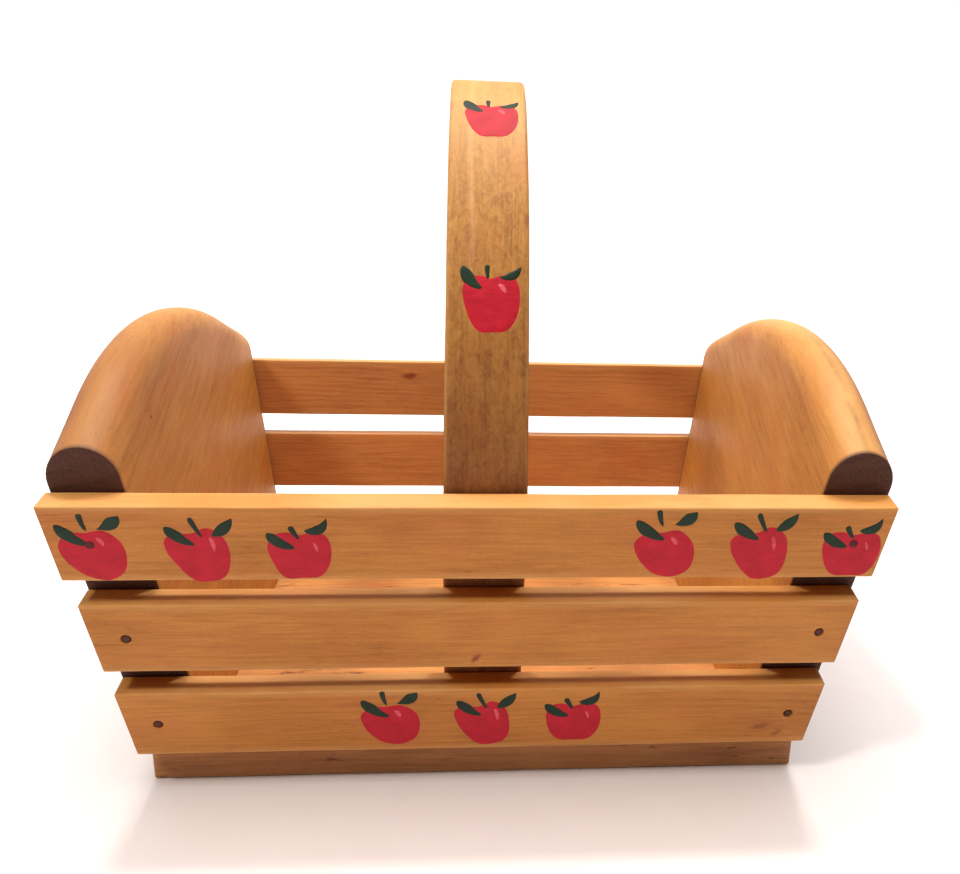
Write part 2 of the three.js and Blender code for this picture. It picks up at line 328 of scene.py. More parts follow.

    # Sanded arrises are a little lighter, and painted light from above pales the slats' top faces, the
    # strap's crown and, together with wear, the end boards' crests. Cut fibre ends drink the stain and
    # go dark.
    worn_and_lit = s.attribute("edge").outputs["Fac"]
    worn_and_lit = s.math("MULTIPLY", worn_and_lit, s.between(blotch, 0.35, 0.6, 0.25, 0.85))
    colour = s.mix(worn_and_lit, colour, WORN_AND_LIT_PALE)
    end = s.attribute("endgrain").outputs["Fac"]
    end_colour = s.mix(s.between(speckle, 0.25, 0.75), END_GRAIN_DARK, END_GRAIN_LIGHT)
    end_colour = s.mix(s.math("MULTIPLY", late, 0.5), end_colour, END_GRAIN_RING)
    colour = s.mix(end, colour, end_colour)

    height = s.math("MULTIPLY_ADD", fibre, 0.5, s.math("MULTIPLY", late, -0.35))
    height = s.math("MULTIPLY_ADD", pore, -0.8, height)
    height = s.math("MULTIPLY_ADD", speckle, 0.25, height)
    roughness = s.between(s.math("MULTIPLY_ADD", fibre, 0.6, blotch), 0.5, 1.1, 0.44, 0.66)
    roughness = s.math("MULTIPLY_ADD", end, 0.2, roughness)
    varnish = {"Coat_Weight": 0.06, "Coat_Roughness": 0.4, "Specular_IOR_Level": 0.3}
    return s.finish(colour, roughness, height, 0.35, WOOD_BUMP, **varnish)


def paint(name, light, dark, show_through=0.06):
    """Brushed craft paint. Its grain attribute is the place on the painted face."""
    s = Shader(name)
    place = s.attribute("grain").outputs["Vector"]
    stroke = s.noise(place, (260.0, 1500.0, 900.0), detail=3.0, roughness=0.6, distortion=0.6)
    patch = s.noise(place, (230.0, 230.0, 230.0))
    blend = s.math("MULTIPLY_ADD", stroke, 0.55, s.math("MULTIPLY", patch, 0.6))
    colour = s.mix(s.between(blend, 0.42, 0.74), dark, light)
    thin = s.noise(place, (900.0, 2600.0, 2600.0))
    thin = s.between(thin, 0.58, 0.75, 0.0, show_through)
    colour = s.mix(thin, colour, WOOD_UNDER_PAINT)
    roughness = s.between(stroke, 0.3, 0.7, 0.48, 0.64)
    return s.finish(colour, roughness, stroke, 0.30, PAINT_BUMP, Specular_IOR_Level=0.22)


def old_steel():
    """Browned steel that rusts in spots."""
    s = Shader("old_nail_steel")
    place = s.node("ShaderNodeTexCoord").outputs["Object"]
    rust = s.noise(place, (1500.0, 1500.0, 1500.0), detail=4.0, roughness=0.7)
    colour = s.mix(s.between(rust, 0.4, 0.62), STEEL_BROWN, STEEL_RUST)
    roughness = s.between(rust, 0.3, 0.7, 0.42, 0.8)
    return s.finish(colour, roughness, rust, 0.4, STEEL_BUMP, Metallic=0.55)


# ---------------- mesh building

def rounded_axis(half, radius, steps, turns=4):
    """Places along one side of a rounded block, with even steps on the flat between its roundings."""
    inner = half - radius
    curve = [inner + radius * math.tan(math.radians(45 * i / turns)) for i in range(1, turns + 1)]
    flat = list(np.linspace(-inner, inner, steps + 1))
    return np.array([-v for v in reversed(curve)] + flat + curve)


def rounded_block(size, radius, steps):
    """Points and quads of a block with rounded edges, centred on the origin."""
    half = np.array(size) / 2
    inner = half - radius
    axes = [rounded_axis(h, radius, n) for h, n in zip(half, steps)]
    points, quads, seen = [], [], {}

    def index_of(place):
        key = tuple(np.round(place, 8))
        if key not in seen:
            core = np.clip(place, -inner, inner)
            away = place - core
            seen[key] = len(points)
            points.append(core + away * (radius / np.linalg.norm(away)))
        return seen[key]

    for axis in range(3):
        u, v = (axis + 1) % 3, (axis + 2) % 3
        for sign in (-1, 1):
            grid = np.zeros((len(axes[u]), len(axes[v])), int)
            for i, a in enumerate(axes[u]):
                for j, b in enumerate(axes[v]):
                    place = np.zeros(3)
                    place[axis], place[u], place[v] = sign * half[axis], a, b
                    grid[i, j] = index_of(place)
            for i in range(len(axes[u]) - 1):
                for j in range(len(axes[v]) - 1):
                    quad = [grid[i, j], grid[i + 1, j], grid[i + 1, j + 1], grid[i, j + 1]]
                    quads.append(quad if sign > 0 else quad[::-1])
    return np.array(points), quads


def uneven(points, seed, amount=0.12 * MM, spacing=24 * MM):
    """Slow hand-made unevenness, the same for any point at the same place."""
    shift = Vector((seed * 7.31, seed * 3.17, seed * 5.23))
    pushes = [np.array(noise.noise_vector(Vector(p) / spacing + shift)) for p in points]
    return np.array([np.array(p) + amount * push for p, push in zip(points, pushes)])


def part_way(start, end, step, steps):
    """A point some steps along the straight way from start to end."""
    start, end = np.array(start), np.array(end)
    return tuple(start + (end - start) * step / steps)


def fade(distance, width):
    """1 at no distance, down to 0 at a width and beyond."""
    return np.clip(1 - distance / width, 0, 1)


def ring_quads(gaps, count, turned_over=False):
    """Quads between closed rings of points that follow one another, each with the same count."""
    quads = []
    for i in range(gaps):
        for j in range(count):
            k = (j + 1) % count
            quad = [i * count + j, i * count + k, (i + 1) * count + k, (i + 1) * count + j]
            quads.append([quad[0]] + quad[:0:-1] if turned_over else quad)
    return quads


def mesh_object(name, points, faces, matrix=None):
    mesh = bpy.data.meshes.new(name)
    mesh.from_pydata([tuple(p) for p in points], [], [[int(i) for i in f] for f in faces])
    obj = bpy.data.objects.new(name, mesh)
    bpy.context.scene.collection.objects.link(obj)
    if matrix is not None:
        obj.matrix_world = matrix
    return obj


def tidy_mesh(obj, merge=0.1 * MICRON, dissolve=0.0, bevel_edges=None, bevel=0.0):
    """Close points merged, thin faces dissolved, faces outwards, and the chosen edges rounded."""
    bm = bmesh.new()
    bm.from_mesh(obj.data)
    if merge:
        bmesh.ops.remove_doubles(bm, verts=bm.verts, dist=merge)
    if dissolve:
        bmesh.ops.dissolve_degenerate(bm, edges=bm.edges, dist=dissolve)
    bmesh.ops.recalc_face_normals(bm, faces=bm.faces)
    if bevel_edges:
        rounding = {"segments": 3, "profile": 0.5, "affect": "EDGES", "clamp_overlap": True}
        bmesh.ops.bevel(bm, geom=[e for e in bm.edges if bevel_edges(e)], offset=bevel, **rounding)
    bm.to_mesh(obj.data)
    bm.free()


def smooth(obj, angle=38):
    """Smooth shading, with edges sharper than an angle in degrees left sharp."""
    obj.data.shade_smooth()
    obj.data.set_sharp_from_angle(angle=math.radians(angle))


def store(obj, name, values):
    """Stores a number or a vector for each point of a mesh, for its shader to read."""
    values = np.asarray(values, np.float32)
    kind, field = ("FLOAT_VECTOR", "vector") if values.ndim == 2 else ("FLOAT", "value")
    layer = obj.data.attributes.new(name, kind, "POINT")
    layer.data.foreach_set(field, values.ravel())


def add_attributes(obj, grain, edge=None, endgrain=None, tone=None):
    """Stores what the wood shader reads, each worked out from the points in the piece's own frame."""
    points = np.zeros(len(obj.data.vertices) * 3)
    obj.data.vertices.foreach_get("co", points)
    points = points.reshape(-1, 3)
    store(obj, "grain", grain(points))
    for name, rule in (("edge", edge), ("endgrain", endgrain), ("tone", tone)):
        store(obj, name, rule(points) if rule else np.zeros(len(points)))


def cut_holes(obj, cutters):
    """Cuts the cutters out of obj and removes them."""
    for cutter in cutters:
        step = obj.modifiers.new("hole", "BOOLEAN")
        step.operation = "DIFFERENCE"
        step.solver = "EXACT"
        step.object = cutter
    bpy.context.view_layer.update()
    evaluated = obj.evaluated_get(bpy.context.evaluated_depsgraph_get())
    made = bpy.data.meshes.new_from_object(evaluated)
    obj.modifiers.clear()
    obj.data = made
    for cutter in cutters:
        bpy.data.objects.remove(cutter)


def turned(name, profile, matrix, sides=24):
    """A profile of (radius, height) points turned about local Z. It starts and ends on the axis."""
    points, faces, rings = [], [], []
    for radius, height in profile:
        if radius == 0:
            rings.append([len(points)] * sides)
            points.append((0, 0, height))
        else:
            rings.append(list(range(len(points), len(points) + sides)))
            for i in range(sides):
                angle = 2 * math.pi * i / sides
                points.append((radius * math.cos(angle), radius * math.sin(angle), height))
    for low, high in zip(rings, rings[1:]):
        for i in range(sides):
            j = (i + 1) % sides
            face = [low[i], low[j], high[j], high[i]]
            faces.append(list(dict.fromkeys(face)))
    obj = mesh_object(name, points, faces, matrix)
    tidy_mesh(obj)
    return obj


def finish_piece(obj, material, slot, *nodes):
    """Gives a piece its material and body, and the CAD nodes that it stands for. Its slot argument is
    not used.
    """
    obj.data.materials.clear()
    obj.data.materials.append(material)
    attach(obj, "root")
    if nodes:
        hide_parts(*nodes)
    return obj


def axes_matrix(x_axis, y_axis, z_axis, origin):
    """The matrix of a frame with these axes and origin."""
    matrix = Matrix.Identity(4)
    for column, axis in enumerate((x_axis, y_axis, z_axis, origin)):
        for row in range(3):
            matrix[row][column] = axis[row]
    return matrix


# ---------------- frames of the leaning sides and ends

def side_frame(facing):
    """X along the slats, Y up the slope, Z out of their outer faces. Facing is -1 front, 1 back."""
    return axes_matrix(
        (-facing, 0, 0),
        (0, facing * math.sin(SIDE_LEAN), math.cos(SIDE_LEAN)),
        (0, facing * math.cos(SIDE_LEAN), -math.sin(SIDE_LEAN)),
        (0, facing * SIDE_HALF_WIDTH, 0),
    )


def end_frame(hand):
    """X across the board, Y up it, Z out of its outer face. Hand is -1 left, 1 right."""
    return axes_matrix(
        (0, hand, 0),
        (hand * math.sin(END_LEAN), 0, math.cos(END_LEAN)),
        (hand * math.cos(END_LEAN), 0, -math.sin(END_LEAN)),
        (hand * BASE_HALF_LENGTH, 0, 0),
    )


# ---------------- nails

NAIL_HEAD = 1.15 * MM
NAIL_HOLE = 1.35 * MM
NAIL_SHANK = 0.8 * MM
NAIL_LENGTH = 24 * MM
NAIL_SUNK = 0.22 * MM
BRAD_HEAD = 1.1 * MM
BRAD_SHANK = 0.6 * MM
BRAD_LENGTH = 8 * MM
TOP_BRAD_DROP = 4 * MM  # the top slats' brads are set low, where the strap still lies against them


def nail(name, node, matrix, length, head=NAIL_HEAD, shank=NAIL_SHANK, proud=0.0):
    """A nail whose head's top is at the matrix's origin, with its point along local -Z."""
    profile = [
        (0, -length),
        (shank * 0.5, -length + 1.2 * shank),
        (shank, -length + 2.4 * shank),
        (shank, -0.7 * MM),
        (head * 0.93, -0.42 * MM),
        (head, -0.30 * MM),
        (head, -0.14 * MM),
        (head * 0.92, -0.04 * MM),
        (head * 0.6, 0.03 * MM),
        (0, 0.05 * MM),
    ]
    obj = turned(name, profile, matrix @ Matrix.Translation((0, 0, proud)))
    smooth(obj, 50)
    return finish_piece(obj, NAIL_METAL, "nail_steel", node)


def hole_cutter(matrix, radius=NAIL_HOLE, depth=1.6 * MM):
    """A tapered drill for a nail head's recess; it sticks out of the face that it cuts."""
    top = 0.6 * MM
    profile = [
        (0, -depth),
        (radius * 0.9, -depth),
        (radius, -0.25 * MM),
        (radius * 1.12, 0.0),
        (radius * 1.6, top),
        (0, top),
    ]
    return turned("cutter", profile, matrix)


# ---------------- materials

NAIL_METAL = old_steel()
SLAT_LIGHT, SLAT_DARK = srgb(200, 128, 48), srgb(146, 78, 24)
BACK_LIGHT, BACK_DARK = srgb(206, 138, 76), srgb(148, 88, 50)
END_LIGHT, END_DARK = srgb(205, 142, 64), srgb(153, 93, 42)
SLAT_WOODS = {
    ("front", "top"): wood("front_top_wood", 1.0, SLAT_LIGHT, SLAT_DARK, ring=2.6 * MM, contrast=0.22),
    ("front", "middle"): wood(
        "front_middle_wood", 2.3, SLAT_LIGHT, SLAT_DARK,
        ring=3.0 * MM, pith=(-0.012, -0.03), contrast=0.26,
        knots=((-2.0 * MM, 47.0 * MM, 4.6 * MM, 1.9 * MM, 48),),
    ),
    ("front", "bottom"): wood(
        "front_bottom_wood", 3.7, SLAT_LIGHT, SLAT_DARK, ring=2.4 * MM, contrast=0.30,
        knots=(
            (82.6 * MM, 20.5 * MM, 6.0 * MM, 2.6 * MM, 15),
            (87.6 * MM, 17.6 * MM, 4.5 * MM, 1.8 * MM, 30),
        ),
        knot_colour=KNOT_BROWN,
    ),
    ("back", "top"): wood(
        "back_top_wood", 4.1, BACK_LIGHT, BACK_DARK, contrast=0.26,
        knots=((29.5 * MM, 89.5 * MM, 7.5 * MM, 3.0 * MM, -8),),
    ),
    ("back", "middle"): wood(
        "back_middle_wood", 5.9, BACK_LIGHT, BACK_DARK, ring=2.8 * MM, contrast=0.22,
    ),
    ("back", "bottom"): wood("back_bottom_wood", 6.2, BACK_LIGHT, BACK_DARK, contrast=0.26),
}
END_WOODS = {
    -1: wood(
        "left_end_wood", 7.4, END_LIGHT, END_DARK, ring=5.2 * MM, pith=(-0.05, -0.02), contrast=0.24,
        knots=((-5.5 * MM, 112.6 * MM, 2.8 * MM, 0.9 * MM, -12),),
    ),
    1: wood(
        "right_end_wood", 8.8, END_LIGHT, END_DARK, ring=4.6 * MM, pith=(-0.05, 0.03), contrast=0.20,
        nose_line=-9.5 * MM,
    ),
}
BASE_WOOD = wood(
    "base_board_wood", 9.3, srgb(212, 148, 84), srgb(156, 98, 54),
    ring=3.0 * MM, contrast=0.4, rough_spots=0.8,
)
STRAP_WOOD = wood(
    "handle_strap_wood", 10.6, srgb(200, 144, 66), srgb(144, 88, 36),
    ring=3.4 * MM, pith=(-0.016, -0.03), contrast=0.25, mottled=0.5, pale_streak=-4.6 * MM,
    knots=(
        (194.2 * MM, -10.4 * MM, 5.0 * MM, 3.4 * MM, 0),
        (155.7 * MM, 11.2 * MM, 6.0 * MM, 3.2 * MM, 25),
    ),
)
APPLE_RED = paint("apple_red_paint", srgb(196, 26, 48), srgb(172, 16, 36))
LEAF_GREEN = paint("leaf_green_paint", srgb(28, 52, 34), srgb(18, 38, 26), show_through=0.03)
HIGHLIGHT_PINK = paint("highlight_pink_paint", srgb(222, 100, 110), srgb(204, 62, 76), show_through=0.0)
NAIL_PAINT = paint("painted_nail_head", srgb(104, 22, 30), srgb(72, 16, 22), show_through=0.0)


# ---------------- slats

# What makes each slat's unevenness its own.
SLAT_SEEDS = {("front", 0): 51, ("front", 1): 54, ("front", 2): 57}
SLAT_SEEDS |= {("back", 0): 68, ("back", 1): 71, ("back", 2): 74}
HANDS = (("left", -1), ("right", 1))
CUT_END = 0.5 * MM  # how far the dark of a cut end shows along a board
CUT_END_DARKNESS = 0.8


def slat_outline(level):
    """How far up the slope a slat's lower and upper edges are."""
    lower = SLAT_START + level * SLAT_PITCH
    return lower, lower + SLAT_WIDTH


def slat_half_length(up_slope):
    """Distance from the middle to the end boards' outer faces, at a place up the slope."""
    return half_length_at(up_slope * math.cos(SIDE_LEAN))


def nail_along(up_slope):
    """Distance from the middle to an end board's half thickness, at a place up the slope."""
    return slat_half_length(up_slope) - END_THICKNESS / 2 / math.cos(END_LEAN)


def slat(face, facing, level):
    lower, upper = slat_outline(level)
    middle = (lower + upper) / 2
    half_thickness = SLAT_THICKNESS / 2
    length = 2 * slat_half_length(middle)
    name = f"{face}_{LEVELS[level]}"
    frame_here = side_frame(facing)
    points, quads = rounded_block((length, SLAT_WIDTH, SLAT_THICKNESS), 0.55 * MM, (110, 10, 4))
    points += (0, middle, half_thickness)
    low_end, high_end = (overrun * MM for overrun in SLAT_OVERRUN[face][level])

    def end_reach(p):
        reach = np.array([slat_half_length(up) for up in p[:, 1]])
        return reach + np.where(p[:, 0] < 0, low_end, high_end)

    points[:, 0] = points[:, 0] / (length / 2) * end_reach(points)
    points = uneven(points, SLAT_SEEDS[face, level])
    obj = mesh_object(f"{name}_slat_wood", points, quads, frame_here)
    tidy_mesh(obj)

    heads = []
    for hand_name, hand in HANDS:
        along = -facing * hand * nail_along(middle)
        head = frame_here @ Matrix.Translation((along, middle, SLAT_THICKNESS))
        heads.append((f"{name}_{hand_name}_nail", head))
    cut_holes(obj, [hole_cutter(head) for _, head in heads])
    for node, head in heads:
        nail(f"{node}_steel", node, head, NAIL_LENGTH, proud=-NAIL_SUNK)
    brad_up = middle - (TOP_BRAD_DROP if level == 2 else 0)
    inside = frame_here @ Matrix.Translation((0, brad_up, -GAP - STRAP_THICKNESS))
    inside = inside @ Matrix.Rotation(math.pi, 4, "X")
    node = f"{name}_strap_brad"
    nail(f"{node}_steel", node, inside, BRAD_LENGTH, BRAD_HEAD, BRAD_SHANK, proud=0.02 * MM)

    # Worn arrises are lighter, and the top face is lightened as painted light from above.
    def edge(p):
        across = SLAT_WIDTH / 2 - np.abs(p[:, 1] - middle)
        through = half_thickness - np.abs(p[:, 2] - half_thickness)
        arris = fade(np.maximum(across, through), 0.8 * MM)
        top_face = fade(middle + SLAT_WIDTH / 2 - p[:, 1], 0.5 * MM)
        return np.maximum(arris, top_face * 0.7)

    def endgrain(p):
        return fade(end_reach(p) - np.abs(p[:, 0]), CUT_END) * CUT_END_DARKNESS

    add_attributes(obj, lambda p: p, edge, endgrain)
    smooth(obj)
    return finish_piece(obj, SLAT_WOODS[face, LEVELS[level]], "stained_wood", f"{name}_slat")


# ---------------- base board

ARRIS_WIDTH = 0.9 * MM


def base_board():
    size = BASE_HIGH - BASE_LOW
    points, quads = rounded_block(size, 0.7 * MM, (90, 60, 5))
    points += (0, 0, size.z / 2)
    points = uneven(points, 21, amount=0.10 * MM)
    points[:, 2] = np.maximum(points[:, 2], 0)
    obj = mesh_object("base_board_wood", points, quads)
    tidy_mesh(obj)

    cutters = []
    for hand_name, hand in HANDS:
        up = Vector((hand * math.sin(END_LEAN), 0, math.cos(END_LEAN)))
        along = hand * (BASE_HALF_LENGTH - END_THICKNESS / 2 / math.cos(END_LEAN))
        turn = (-up).to_track_quat("Z", "Y").to_matrix().to_4x4()
        for place in ("front", "middle", "back"):
            node = f"base_{hand_name}_{place}_nail"
            low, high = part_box(node)
            foot = Vector((along, (low.y + high.y) / 2, 0))
            cutters.append(hole_cutter(Matrix.Translation(foot) @ turn, depth=2.0 * MM))
            head = Matrix.Translation(foot + up * 0.5 * MM) @ turn
            nail(f"{node}_steel", node, head, NAIL_LENGTH)
    cut_holes(obj, cutters)

    def side_gaps(p):
        return BASE_HALF_LENGTH - np.abs(p[:, 0]), BASE_HIGH.y - np.abs(p[:, 1])

    def edge(p):
        gaps = np.stack([*side_gaps(p), size.z / 2 - np.abs(p[:, 2] - size.z / 2)], axis=1)
        return fade(np.sort(gaps, axis=1)[:, 1], ARRIS_WIDTH) * 0.6

    def endgrain(p):
        return fade(side_gaps(p)[0], CUT_END) * CUT_END_DARKNESS

    # The side faces are darkened as painted shade under the slats and end boards.
    def tone(p):
        return fade(np.minimum(*side_gaps(p)), ARRIS_WIDTH) * 0.42

    add_attributes(obj, lambda p: p, edge, endgrain, tone)
    smooth(obj)
    return finish_piece(obj, BASE_WOOD, "base_wood", "base_board")


# ---------------- end boards

NOSE = END_THICKNESS / 2


def arch(distance):
    """Height of the arch and the outline's outward direction, at a distance from the crown."""
    away = abs(distance)
    round_end = ARCH_RADIUS * math.sin(ARCH_FLANK)
    centre = ARCH_HEIGHT - ARCH_RADIUS
    if away < round_end:
        height = centre + math.sqrt(ARCH_RADIUS ** 2 - away ** 2)
        tilt = math.asin(away / ARCH_RADIUS)
    else:
        height = centre + ARCH_RADIUS * math.cos(ARCH_FLANK)
        height -= (away - round_end) * math.tan(ARCH_FLANK)
        tilt = ARCH_FLANK
    return height, math.copysign(math.sin(tilt), distance), math.cos(tilt)


def nose_point(across, turn, crown):
    """A point of the half-round edge: turn runs from -90 degrees, inner face, to 90, outer face."""
    height, out_across, out_up = arch(across - crown)
    back = NOSE * (math.cos(turn) - 1)
    return across + out_across * back, height + out_up * back, -NOSE + NOSE * math.sin(turn)


def side_limit(up, out):
    """Half-width of the board at a place up it and out of its outer face, in its own frame."""
    height = up * math.cos(END_LEAN) - out * math.sin(END_LEAN)
    return side_plane_at(height) - GAP / math.cos(SIDE_LEAN)


def nose_reach(sign, turn, crown):
    """How far across the arch's outline runs before the half-round edge meets the side cut."""
    across = sign * 70 * MM
    for _ in range(40):
        x, up, out = nose_point(across, turn, crown)
        across += sign * side_limit(up, out) - x
    return across


# How many steps an end board's mesh takes: across it, round its nose, down each face and through
# its foot. The nose's half-round end at each side cut is filled with rows of its own.
COLUMNS, NOSE_ROWS, FACE_ROWS, FOOT_ROWS = 96, 20, 26, 20
FILL_ROWS = 5
GRAIN_TILT = math.radians(20)


def end_board_section(share, crown):
    """The closed section at a share of a board's width: nose, outer face, foot, inner face."""
    section = []
    for i in range(NOSE_ROWS + 1):
        turn = math.pi * (i / NOSE_ROWS - 0.5)
        reach = nose_reach(1 if share >= 0 else -1, turn, crown)
        section.append(nose_point(abs(share) * reach, turn, crown))
    walls = []
    for out, top in ((0.0, section[-1]), (-END_THICKNESS, section[0])):
        up = (BASE_THICKNESS + GAP + out * math.sin(END_LEAN)) / math.cos(END_LEAN)
        foot = (share * side_limit(up, out), up, out)
        walls.append([part_way(top, foot, i, FACE_ROWS) for i in range(1, FACE_ROWS + 1)])
    outer, inner = walls
    bottom = [part_way(outer[-1], inner[-1], i, FOOT_ROWS) for i in range(1, FOOT_ROWS)]
    return section + outer + bottom + inner[::-1]


def side_cut_faces(points, first, count):
    """Faces over the side cut that a section bounds. The section starts at point number first."""
    outer = [first + NOSE_ROWS + i for i in range(FACE_ROWS + 1)]
    inner = [first] + [first + count - 1 - i for i in range(FACE_ROWS)]
    nose = [first + i for i in range(NOSE_ROWS + 1)]
    rows = [nose]

    def add(place):
        points.append(place)
        return len(points) - 1

    for step in range(1, FILL_ROWS + 1):
        row = []
        for i, above in enumerate(nose[1:-1], 1):
            flat_place = part_way(points[inner[0]], points[outer[0]], i, NOSE_ROWS)
            row.append(add(part_way(points[above], flat_place, step, FILL_ROWS)))
        rows.append([nose[0]] + row + [nose[-1]])
    for left, right in zip(inner[1:-1], outer[1:-1]):
        ends = points[left], points[right]
        row = [add(part_way(*ends, i, NOSE_ROWS)) for i in range(1, NOSE_ROWS)]
        rows.append([left] + row + [right])
    foot = [first + count - FACE_ROWS - i for i in range(1, FOOT_ROWS)]
    rows.append([inner[-1]] + foot + [outer[-1]])

    faces = []
    for above, below in zip(rows, rows[1:]):
        for i in range(NOSE_ROWS):
            face = list(dict.fromkeys([above[i], above[i + 1], below[i + 1], below[i]]))
            if len(face) > 2:
                faces.append(face)
    return faces


def end_board(name, hand):
    crown = -hand * ARCH_OFFSET
    sections = [end_board_section(share, crown) for share in np.linspace(-1, 1, COLUMNS + 1)]
    count = len(sections[0])
    points = [p for section in sections for p in section]
    faces = ring_quads(COLUMNS, count, turned_over=True)
    for end in (0, COLUMNS):
        faces += side_cut_faces(points, end * count, count)
    obj = mesh_object(f"{name}_end_board_wood", points, faces, end_frame(hand))

    def is_arris(mesh_edge):
        return len(mesh_edge.link_faces) == 2 and mesh_edge.calc_face_angle() > math.radians(50)

    tidy_mesh(obj, bevel_edges=is_arris, bevel=0.7 * MM)
    places = [v.co for v in obj.data.vertices]
    places = uneven(places, 31 + hand, amount=0.15 * MM, spacing=30 * MM)
    obj.data.vertices.foreach_set("co", places.ravel())

    cos, sin = math.cos(GRAIN_TILT), math.sin(GRAIN_TILT)
    turn_grain = np.array([[cos, sin, 0], [-sin, cos, 0], [0, 0, 1]])

    def grain(p):
        return (p * (hand, 1, 1)) @ turn_grain.T

    def side_distance(p):
        limits = np.array([side_limit(up, out) for up, out in zip(p[:, 1], p[:, 2])])
        return limits - np.abs(p[:, 0])

    def below_arch(p):
        return np.array([arch(x - crown)[0] for x in p[:, 0]]) - p[:, 1]

    # Lighter lines by the side cuts are wear; the lighter inner half of the crest is partly wear,
    # partly painted light from above.
    def edge(p):
        sides = fade(np.abs(side_distance(p) - 0.35 * MM), 0.6 * MM) * 0.5
        crest = fade(below_arch(p), 0.5 * NOSE) * np.clip(-p[:, 2] / NOSE, 0, 1)
        return np.maximum(sides, crest * (0.25 if hand < 0 else 0.8))

    def endgrain(p):
        return np.clip(1.25 - side_distance(p) / (0.4 * MM), 0, 1)

    def tone(p):
        """Darker on the outer face and the nose's outer flank, as painted shade where they turn from
        the overhead lamps, and over the nose towards the front as stain, most on the left board.
        """
        flank = np.clip((p[:, 2] + 0.85 * NOSE) / (0.6 * NOSE), 0, 1)
        on_nose = np.clip(1.2 - below_arch(p) / NOSE, 0, 1)
        frontwards = np.clip((-hand * p[:, 0] + 15 * MM) / (50 * MM), 0, 1)
        return np.maximum(flank, on_nose * frontwards * (0.75 if hand < 0 else 0.3))

    add_attributes(obj, grain, edge, endgrain, tone)
    smooth(obj, 45)
    return finish_piece(obj, END_WOODS[hand], "stained_wood", f"{name}_end_board")


# ---------------- handle

def strap_line():
    """Outer line of the strap, from the front foot over the crown to the back foot, evenly spaced."""
    def on_leg(height):
        return np.array([-side_plane_at(height) + GAP / math.cos(SIDE_LEAN), height])

    start = on_leg(STRAP_LEAVES_SLATS)
    along_leg = np.array([-math.sin(SIDE_LEAN), math.cos(SIDE_LEAN)])
    pulls = (
        start,
        start + along_leg * STRAP_LEG_PULL,
        np.array([-STRAP_CROWN_PULL, STRAP_HEIGHT]),
        np.array([0, STRAP_HEIGHT]),
    )
    bend = []
    for t in np.linspace(0, 1, 200):
        weights = ((1 - t) ** 3, 3 * (1 - t) ** 2 * t, 3 * (1 - t) * t * t, t ** 3)
        bend.append(sum(w * p for w, p in zip(weights, pulls)))
    foot = on_leg(BASE_THICKNESS + GAP)
    leg = [foot + (start - foot) * t for t in np.linspace(0, 1, 120, endpoint=False)]
    half = np.array(leg + bend)
    line = np.vstack([half, (half[:-1] * (-1, 1))[::-1]])
    lengths = np.concatenate([[0], np.cumsum(np.linalg.norm(np.diff(line, axis=0), axis=1))])
    even = np.linspace(0, lengths[-1], 241)
    return even, np.stack([np.interp(even, lengths, line[:, i]) for i in (0, 1)], axis=1)


STRAP_SHADE_TOP = 165 * MM  # painted shade deepens on the strap below this height, and painted light pales it above
STRAP_SHADE_DROP = 75 * MM
STRAP_LIGHT_RISE = 28 * MM
STRAP_RUN, STRAP_POINTS = strap_line()
STRAP_ALONG = np.gradient(STRAP_POINTS, STRAP_RUN, axis=0)
STRAP_ALONG /= np.linalg.norm(STRAP_ALONG, axis=1)[:, None]


def strap_width(height):
    """The strap narrows evenly from where it leaves the slats to its crown."""
    share = np.clip((height - STRAP_LEAVES_SLATS) / (STRAP_HEIGHT - STRAP_LEAVES_SLATS), 0, 1)
    return STRAP_WIDTH + (STRAP_CROWN_WIDTH - STRAP_WIDTH) * share


def strap_place(run, across, out=0.0):
    """A point on the strap's outer face: run along it from the front foot, across it, and out of it."""
    y, z = (np.interp(run, STRAP_RUN, STRAP_POINTS[:, i]) for i in (0, 1))
    ty, tz = (np.interp(run, STRAP_RUN, STRAP_ALONG[:, i]) for i in (0, 1))
    return Vector((across, y - tz * out, z + ty * out))


def strap_section(width, radius=1.1 * MM, flats=10, turns=4):
    """Rounded rectangle round the strap, as (across, depth) points; depth 0 is the outer face."""
    half, deep = width / 2, STRAP_THICKNESS
    corners = [(half - radius, -radius, 90), (-half + radius, -radius, 180),
               (-half + radius, -deep + radius, 270), (half - radius, -deep + radius, 360)]
    section = []
    for cx, cy, end in corners:
        for i in range(turns + 1):
            angle = math.radians(end - 90 + 90 * i / turns)
            section.append((cx + radius * math.cos(angle), cy + radius * math.sin(angle)))
        nxt = corners[(corners.index((cx, cy, end)) + 1) % 4]
        first = math.radians(end)
        a = np.array([cx + radius * math.cos(first), cy + radius * math.sin(first)])
        b = np.array([nxt[0] + radius * math.cos(first), nxt[1] + radius * math.sin(first)])
        steps = flats if abs(b[0] - a[0]) > abs(b[1] - a[1]) else 3
        section += [part_way(a, b, i, steps) for i in range(1, steps)]
    return section


def uneven_strap(places):
    return uneven([tuple(p) for p in places], 41, amount=0.15 * MM, spacing=28 * MM)


